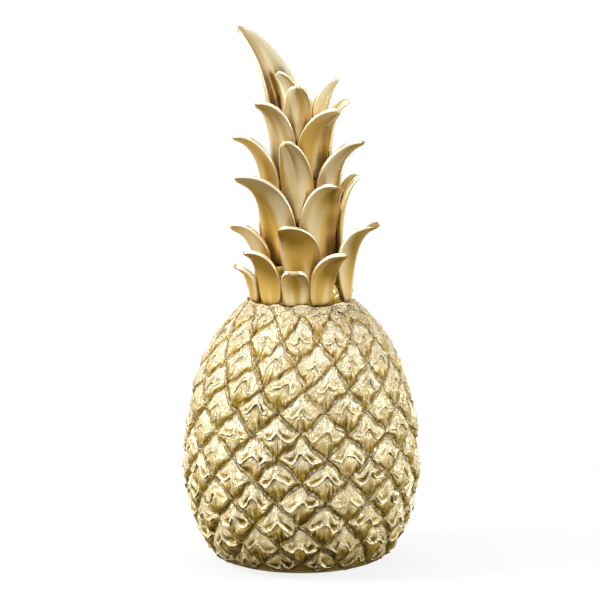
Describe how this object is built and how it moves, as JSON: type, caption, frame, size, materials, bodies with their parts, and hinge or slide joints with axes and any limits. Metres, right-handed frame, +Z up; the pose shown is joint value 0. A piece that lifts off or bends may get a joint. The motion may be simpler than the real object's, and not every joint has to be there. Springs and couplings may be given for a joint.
{
  "type": "pineapple figurine",
  "caption": "Free-standing pineapple ornament: a hollow gilt fruit covered with eyes, crowned by rings of cupped leaves on a stepped core, on a felt pad",
  "frame": {"origin": "centre of the felt pad's underside, on the surface that the ornament stands on", "axes": "+Z up through the crown, -Y towards the viewer, +X to the viewer's right"},
  "size_m": [0.1116, 0.1109, 0.2501],
  "materials": {
    "fruit_gilt": "satin champagne-gold paint on cast resin",
    "leaf_gilt": "satin champagne-gold paint on cast resin",
    "plug": "matt",
    "felt": "felt"
  },
  "bodies": {
    "root": {"fruit_body": "fruit_gilt", "base_plug": "plug", "felt_pad": "felt", "crown_core": "leaf_gilt", "leaf_1a": "leaf_gilt", "leaf_1b": "leaf_gilt", "leaf_1c": "leaf_gilt", "leaf_1d": "leaf_gilt", "leaf_1e": "leaf_gilt", "leaf_1f": "leaf_gilt", "leaf_1g": "leaf_gilt", "leaf_1h": "leaf_gilt", "leaf_1i": "leaf_gilt", "leaf_1j": "leaf_gilt", "leaf_2a": "leaf_gilt", "leaf_2b": "leaf_gilt", "leaf_2c": "leaf_gilt", "leaf_2d": "leaf_gilt", "leaf_2e": "leaf_gilt", "leaf_2f": "leaf_gilt", "leaf_3a": "leaf_gilt", "leaf_3b": "leaf_gilt", "leaf_3c": "leaf_gilt", "leaf_3d": "leaf_gilt", "leaf_3e": "leaf_gilt", "leaf_3f": "leaf_gilt", "leaf_4a": "leaf_gilt", "leaf_4b": "leaf_gilt", "leaf_4c": "leaf_gilt", "leaf_4d": "leaf_gilt", "leaf_4e": "leaf_gilt", "leaf_4f": "leaf_gilt", "leaf_5a": "leaf_gilt", "leaf_5b": "leaf_gilt", "leaf_5c": "leaf_gilt", "leaf_5d": "leaf_gilt", "leaf_5e": "leaf_gilt", "leaf_6a": "leaf_gilt", "leaf_6b": "leaf_gilt", "leaf_6c": "leaf_gilt", "leaf_6d": "leaf_gilt", "leaf_7a": "leaf_gilt", "leaf_7b": "leaf_gilt"}
  },
  "joints": []
}
